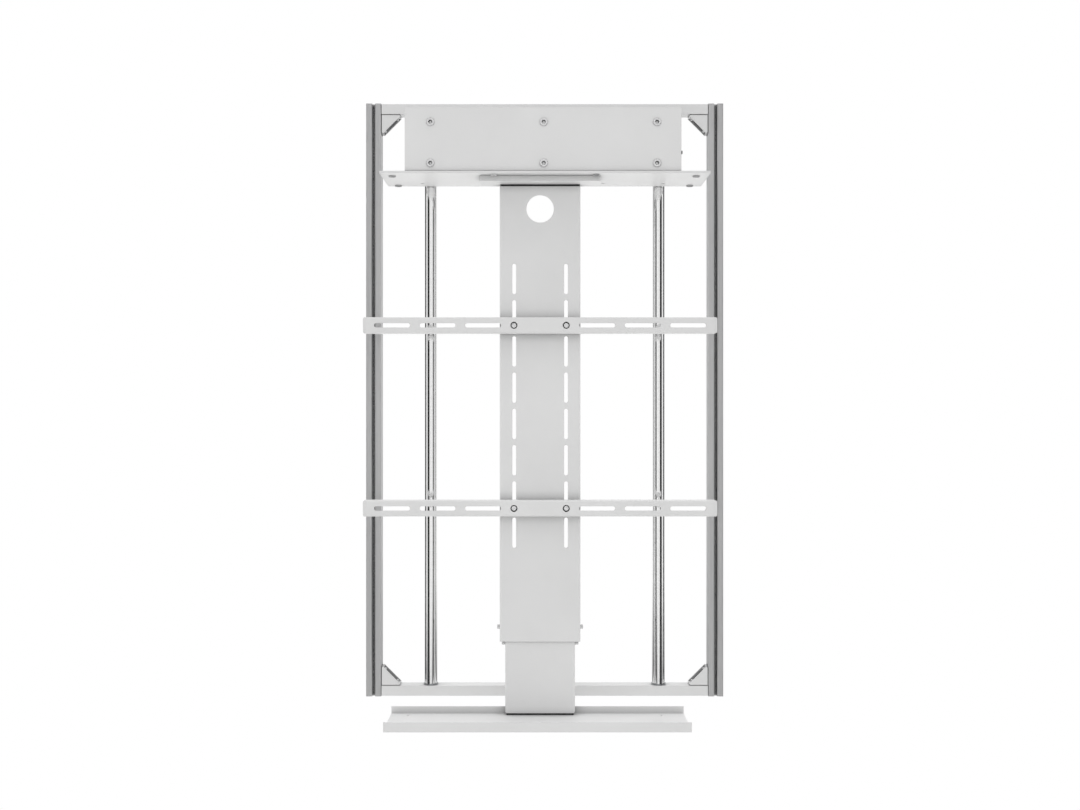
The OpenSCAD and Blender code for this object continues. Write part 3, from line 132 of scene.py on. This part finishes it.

# Clear anodised extrusion: die lines along the rail, a soft grey sheen, a painted highlight on the edges and
# dark painted shade in the grooves
anodised = {"metallic": 1.0, "light": "#cfcfcf", "dark": "#c4c4c5", "mottleMm": (1.2, 1.2, 260),
            "grainMm": (0.8, 0.8, 200), "reliefMm": 0.02, "reliefShare": 0.2,
            "roughLow": 0.34, "roughHigh": 0.46,
            "edgeMm": 0.4, "edgeTone": "#dcdcdc", "edgeWearAndPaintedLight": 0.5,
            "paintedShade": "#161718", "paintedShadeMm": 9, "paintedShadeFrom": 0.6, "paintedShadeTo": 0.69}

# Hard chrome, ground and polished: a near mirror with faint rings from the grinding, painted highlights on
# the edges and painted shade in recesses
chrome = {"metallic": 1.0, "light": "#f4f4f4", "dark": "#ededed", "mottleMm": (60, 60, 1.6),
          "grainMm": (60, 60, 0.8),
          "reliefMm": 0.004, "reliefShare": 0.08, "roughLow": 0.05, "roughHigh": 0.09,
          "edgeMm": 0.3, "edgeTone": "#ffffff", "edgeWearAndPaintedLight": 0.3,
          "paintedShade": "#8c8d8f", "paintedShadeMm": 4, "paintedShadeFrom": 0.2, "paintedShadeTo": 0.6}

# Bright zinc plate on screws: a soft light grey with faint crystal patches, a painted dark rim and painted
# shade in the drive recesses
zincPlate = {"metallic": 1.0, "light": "#e2e2e2", "dark": "#d6d6d7", "mottleMm": 3.0, "grainMm": 0.8,
             "reliefMm": 0.01, "reliefShare": 0.25, "roughLow": 0.24, "roughHigh": 0.36,
             "edgeMm": 0.6, "edgeTone": "#9c9c9d", "edgeWearAndPaintedLight": 0.7,
             "paintedShade": "#2c2c2d", "paintedShadeMm": 4, "paintedShadeFrom": 0.4, "paintedShadeTo": 0.8}

# Dull zinc on the side screws: a worn mid grey that stands out against the paint, with a painted dark rim and
# painted shade in recesses
dullZinc = {"metallic": 1.0, "light": "#dadada", "dark": "#c8c8c9", "mottleMm": 2.0, "grainMm": 0.7,
            "reliefMm": 0.02, "reliefShare": 0.3, "roughLow": 0.3, "roughHigh": 0.45,
            "edgeMm": 0.3, "edgeTone": "#7d7d7e", "edgeWearAndPaintedLight": 0.5,
            "paintedShade": "#6c6c6d", "paintedShadeMm": 4, "paintedShadeFrom": 0.3, "paintedShadeTo": 0.8}

# Cut gear steel: grey flanks with fine tool marks, polished tips, and painted shade in the recesses
gearSteel = {"metallic": 1.0, "light": "#a6a8aa", "dark": "#8f9193", "mottleMm": (0.9, 8.0, 0.9),
             "grainMm": 0.7,
             "reliefMm": 0.02, "reliefShare": 0.25, "roughLow": 0.28, "roughHigh": 0.42,
             "edgeMm": 0.25, "edgeTone": "#d0d2d3", "edgeWearAndPaintedLight": 0.7,
             "paintedShade": "#4c4d4f", "paintedShadeMm": 3, "paintedShadeFrom": 0.2, "paintedShadeTo": 0.6}

# Black oxide: near black with a dull sheen, rubbed grey on the edges, and painted shade in recesses
blackOxide = {"metallic": 1.0, "light": "#3b3b3d", "dark": "#2c2c2e", "mottleMm": 2.0, "grainMm": 0.9,
              "reliefMm": 0.01, "reliefShare": 0.25, "roughLow": 0.36, "roughHigh": 0.5,
              "edgeMm": 0.4, "edgeTone": "#6a6a6c", "edgeWearAndPaintedLight": 0.6,
              "paintedShade": "#161617", "paintedShadeMm": 4, "paintedShadeFrom": 0.3, "paintedShadeTo": 0.7}

# Milled aluminium: pale with cutter lines across each face, bright broken edges and painted shade in recesses
milledAluminium = {"metallic": 1.0, "light": "#c3c5c7", "dark": "#b1b3b5", "mottleMm": (14.0, 14.0, 0.9),
                   "grainMm": (14.0, 14.0, 0.9), "reliefMm": 0.02, "reliefShare": 0.25,
                   "roughLow": 0.28, "roughHigh": 0.4, "edgeMm": 0.6, "edgeTone": "#e2e3e4", "edgeWearAndPaintedLight": 0.7,
                   "paintedShade": "#5e5f61", "paintedShadeMm": 8, "paintedShadeFrom": 0.2, "paintedShadeTo": 0.6}

# Sintered bronze: brown gold with an open, oily grain and painted shade in recesses
sinteredBronze = {"metallic": 1.0, "light": "#b08a52", "dark": "#94713f", "mottleMm": 0.9, "grainMm": 0.5,
                  "reliefMm": 0.03, "reliefShare": 0.3, "roughLow": 0.42, "roughHigh": 0.58,
                  "edgeMm": 0.3, "edgeTone": "#c9a468", "edgeWearAndPaintedLight": 0.5,
                  "paintedShade": "#4d3a20", "paintedShadeMm": 4, "paintedShadeFrom": 0.2, "paintedShadeTo": 0.6}

# Moulded rubber: dull black with a slight bloom, a pebbled skin and painted shade in recesses
blackRubber = {"metallic": 0.0, "ior": 1.52, "light": "#3a3a3c", "dark": "#2d2d2f",
               "mottleMm": 6.0, "grainMm": 1.4,
               "reliefMm": 0.06, "reliefShare": 0.3, "roughLow": 0.7, "roughHigh": 0.86,
               "edgeMm": 0.5, "edgeTone": "#4b4b4d", "edgeWearAndPaintedLight": 0.4,
               "paintedShade": "#1c1c1d", "paintedShadeMm": 6, "paintedShadeFrom": 0.3, "paintedShadeTo": 0.8}

# Black ABS: an even moulded black with a fine spark texture and painted shade in recesses
blackAbs = {"metallic": 0.0, "ior": 1.54, "light": "#2b2b2d", "dark": "#232325",
            "mottleMm": 5.0, "grainMm": 1.0,
            "reliefMm": 0.04, "reliefShare": 0.3, "roughLow": 0.42, "roughHigh": 0.55,
            "edgeMm": 0.6, "edgeTone": "#3c3c3e", "edgeWearAndPaintedLight": 0.4,
            "paintedShade": "#141415", "paintedShadeMm": 6, "paintedShadeFrom": 0.3, "paintedShadeTo": 0.8}

# Grey nylon: a waxy mid grey with soft flow marks and painted shade in recesses
greyNylon = {"metallic": 0.0, "ior": 1.53, "light": "#b2b2b3", "dark": "#a6a6a7",
             "mottleMm": 5.0, "grainMm": 1.2,
             "reliefMm": 0.03, "reliefShare": 0.3, "roughLow": 0.45, "roughHigh": 0.58,
             "edgeMm": 0.4, "edgeTone": "#b8b8ba", "edgeWearAndPaintedLight": 0.4,
             "paintedShade": "#8a8a8b", "paintedShadeMm": 5, "paintedShadeFrom": 0.3, "paintedShadeTo": 0.8}

# Solder mask over a printed board: glossy green with darker tracks showing through, and painted shade in
# recesses
solderMask = {"metallic": 0.0, "ior": 1.5, "light": "#1f6b46", "dark": "#185a3a", "mottleMm": (9.0, 4.0, 2.0),
              "grainMm": 2.0, "reliefMm": 0.02, "reliefShare": 0.3, "roughLow": 0.25, "roughHigh": 0.38,
              "edgeMm": 0.2, "edgeTone": "#8aa06a", "edgeWearAndPaintedLight": 0.6,
              "paintedShade": "#0f3b26", "paintedShadeMm": 5, "paintedShadeFrom": 0.3, "paintedShadeTo": 0.8}

finishes = {
    "white_paint": makeFinish("satinWhitePowderCoat", powderCoat),
    "rail_aluminium": makeFinish("clearAnodisedAluminium", anodised),
    "chrome_plate": makeFinish("groundHardChrome", chrome),
    "zinc_plate": makeFinish("brightZincPlate", zincPlate),
    "gear_steel": makeFinish("cutGearSteel", gearSteel),
    "black_steel": makeFinish("blackOxideSteel", blackOxide),
    "block_aluminium": makeFinish("milledAluminium", milledAluminium),
    "bush_bronze": makeFinish("sinteredBronze", sinteredBronze),
    "black_rubber": makeFinish("mouldedBlackRubber", blackRubber),
    "black_plastic": makeFinish("blackAbs", blackAbs),
    "grey_nylon": makeFinish("greyNylon", greyNylon),
    "green_board": makeFinish("greenSolderMask", solderMask),
}

# Side screws are duller than the other plated ones, the grommet is grey like the liners, the rod rings are
# bare steel, and the brackets are castings with painted shade in their pockets
dullFinish = makeFinish("dullZincPlate", dullZinc)
castFinish = makeFinish("paintedCasting", castPaint)
ownFinish = {"clamp_screws": dullFinish, "glide_screws": dullFinish,
             "service_grommet": finishes["grey_nylon"], "rod_rings": finishes["gear_steel"]}
for corner in ("top_left", "top_right", "bottom_left", "bottom_right"):
    ownFinish[f"{corner}_bracket"] = castFinish
slotOf = {s["node"]: s["material_slot"] for s in frame["record"]["subparts"]}
for nodeName, nodeObject in frame["nodes"].items():
    nodeObject.data.materials.clear()
    nodeObject.data.materials.append(ownFinish.get(nodeName, finishes[slotOf[nodeName]]))
print("finishes assigned:", len(slotOf), "nodes")

# Stage

# Plain sheets on the stage have no edge colour and no painted shade
plainSheet = {"metallic": 0.0, "edgeMm": 0.1, "edgeWearAndPaintedLight": 0.0,
              "paintedShadeMm": 1, "paintedShadeFrom": 0.1, "paintedShadeTo": 0.5}


# Puts a finished mesh on the stage; a gloss piece shows only in reflections
def placeOnStage(name, bm, finish, glossOnly):
    mesh = bpy.data.meshes.new(name)
    bm.to_mesh(mesh)
    bm.free()
    mesh.materials.append(finish)
    piece = bpy.data.objects.new(name, mesh)
    scene.collection.objects.link(piece)
    if glossOnly:
        piece.visible_camera = False
        piece.visible_diffuse = False
        piece.visible_shadow = False


floor = {"z": -2.42, "halfX": 3.6, "front": -3.6, "back": 2.6, "cells": 4}

# Seamless studio paper: near white with a faint fibre
paperFloor = {**plainSheet, "ior": 1.45, "light": "#f3f3f2", "dark": "#efefee",
              "mottleMm": 40, "grainMm": 1.0, "reliefMm": 0.02, "reliefShare": 0.2,
              "roughLow": 0.75, "roughHigh": 0.85, "edgeTone": "#f3f3f2", "paintedShade": "#efefee"}


def makeFloor(p):
    bm = bmesh.new()
    bmesh.ops.create_grid(bm, x_segments=p["cells"], y_segments=p["cells"], size=1.0)
    bmesh.ops.scale(bm, vec=(p["halfX"], (p["back"] - p["front"]) / 2, 1.0), verts=bm.verts)
    middle = Vector((0, (p["back"] + p["front"]) / 2, p["z"]))
    bmesh.ops.translate(bm, vec=middle, verts=bm.verts)
    placeOnStage("studioFloor", bm, makeFinish("palePaperFloor", paperFloor), False)


flags = {"height": 5.0, "middleZ": -0.6,
         "ends": {"front": ((0.70, -1.2), (2.39, -1.2)), "rear": ((0.55, 0.33), (1.4, 0.3)),
                  "middle": ((0.0, -2.8), (0.9, -2.8))}}

# Dull dark felt on the flags
felt = {**plainSheet, "ior": 1.4, "light": "#2c2c2d", "dark": "#262627", "mottleMm": 30, "grainMm": 3.0,
        "reliefMm": 0.2, "reliefShare": 0.3, "roughLow": 0.9, "roughHigh": 0.98,
        "edgeTone": "#3c3c3d", "paintedShade": "#303031"}

# White card that fades to grey towards the floor, a shade below the white surround
card = {**plainSheet, "ior": 1.45, "light": "#f6f6f6", "dark": "#8e8e8f", "fadeZ": (-1.7, -2.3),
        "mottleMm": 60, "grainMm": 2.0, "reliefMm": 0.05, "reliefShare": 0.2,
        "roughLow": 0.85, "roughHigh": 0.95, "edgeTone": "#f6f6f6", "paintedShade": "#f2f2f2"}


# Upright studio flags and a card behind the camera give the chrome its bands
def makeFlag(p, where, side, finish):
    bm = bmesh.new()
    low, high = p["middleZ"] - p["height"] / 2, p["middleZ"] + p["height"] / 2
    near, far = [(side * x, y) for x, y in p["ends"][where]]
    corners = [bm.verts.new(c) for c in ((*near, low), (*far, low), (*far, high), (*near, high))]
    bm.faces.new(corners)
    placeOnStage(f"{where}Flag{'Left' if side < 0 else 'Right'}", bm, finish, True)


skirt = {"radius": 5.0, "top": -1.5, "bottom": -2.42, "segments": 64}


# Low round wall of the same card, which darkens the chrome towards the feet of the rods
def makeSkirt(p, finish):
    bm = bmesh.new()
    bmesh.ops.create_cone(bm, cap_ends=False, segments=p["segments"], radius1=p["radius"],
                          radius2=p["radius"], depth=p["top"] - p["bottom"])
    bmesh.ops.translate(bm, vec=(0, 0, (p["top"] + p["bottom"]) / 2), verts=bm.verts)
    placeOnStage("lowSkirt", bm, finish, True)


makeFloor(floor)
flagFelt = makeFinish("dullBlackFelt", felt)
fadedCard = makeFinish("fadedWhiteCard", card)
flagFinish = {"front": flagFelt, "rear": flagFelt, "middle": fadedCard}
for flagWhere, flagMaterial in flagFinish.items():
    for flagSide in (-1, 1):
        makeFlag(flags, flagWhere, flagSide, flagMaterial)
makeSkirt(skirt, fadedCard)

light = {"zenith": 1.79, "loss": (0.25, 1.14, 0.0)}
lampAim = Vector((0, 0, -0.6))
lamps = {"softTopLamp": {"place": (-1.2, -1.6, 1.9), "size": 2.4, "energy": 6},
         "softFloorLamp": {"place": (0.2, 0.8, -2.35), "size": 2.4, "energy": 19}}


# Soft light, strongest from above and below, weaker from the sides and least from front and back;
# camera and gloss see plain white
def makeWorld(p):
    world = bpy.data.worlds.new("softWhiteStudio")
    scene.world = world
    world.use_nodes = True
    tree = world.node_tree
    tree.nodes.clear()
    direction = addNode(tree, "ShaderNodeTexCoord").outputs["Generated"]
    slant = addNode(tree, "ShaderNodeVectorMath", {0: direction}, operation="ABSOLUTE").outputs["Vector"]
    loss = addNode(tree, "ShaderNodeVectorMath", {0: slant, 1: p["loss"]},
                   operation="DOT_PRODUCT").outputs["Value"]
    strength = addNode(tree, "ShaderNodeMath", {0: p["zenith"], 1: loss}, operation="SUBTRACT").outputs[0]
    soft = addNode(tree, "ShaderNodeBackground", {"Color": (1, 1, 1, 1), "Strength": strength})
    white = addNode(tree, "ShaderNodeBackground", {"Color": (1, 1, 1, 1), "Strength": 1.0})
    path = addNode(tree, "ShaderNodeLightPath").outputs
    seen = addNode(tree, "ShaderNodeMath", {0: path["Is Camera Ray"], 1: path["Is Glossy Ray"]},
                   operation="MAXIMUM")
    plain = addNode(tree, "ShaderNodeMath", {0: seen.outputs[0], 1: path["Is Transmission Ray"]},
                    operation="MAXIMUM")
    mix = addNode(tree, "ShaderNodeMixShader", {0: plain.outputs[0], 1: soft.outputs[0], 2: white.outputs[0]})
    addNode(tree, "ShaderNodeOutputWorld", {"Surface": mix.outputs[0]})


# Large soft lamps that the camera doesn't see, one above and one low to fill the undersides
def makeLamp(name, p):
    lampData = bpy.data.lights.new(name, "AREA")
    lampData.energy = p["energy"]
    lampData.size = p["size"]
    lamp = bpy.data.objects.new(name, lampData)
    scene.collection.objects.link(lamp)
    lamp.location = p["place"]
    aim = lampAim - lamp.location
    lamp.rotation_euler = aim.to_track_quat("-Z", "Y").to_euler()
    lamp.visible_camera = False
    lamp.visible_glossy = False


makeWorld(light)
for lampName, lampSettings in lamps.items():
    makeLamp(lampName, lampSettings)
print("stage and light ready")

# Camera level with the middle of the column, as in the photograph

camera = {"x": -9.4, "y": -2432.0, "z": -592.2, "focalPixels": 1200.0, "imageWidth": 1080.0, "sensorMm": 36.0,
          "clipEnd": 50.0}


def makeCamera(p):
    cameraData = bpy.data.cameras.new("photoCamera")
    cameraData.sensor_fit = "HORIZONTAL"
    cameraData.sensor_width = p["sensorMm"]
    cameraData.lens = p["focalPixels"] / p["imageWidth"] * p["sensorMm"]
    cameraData.clip_end = p["clipEnd"]
    view = bpy.data.objects.new("photoCamera", cameraData)
    scene.collection.objects.link(view)
    view.location = (p["x"] * mm, p["y"] * mm, p["z"] * mm)
    view.rotation_euler = (math.radians(90), 0, 0)
    scene.camera = view


makeCamera(camera)
scene.view_settings.view_transform = "Standard"
print("camera ready")
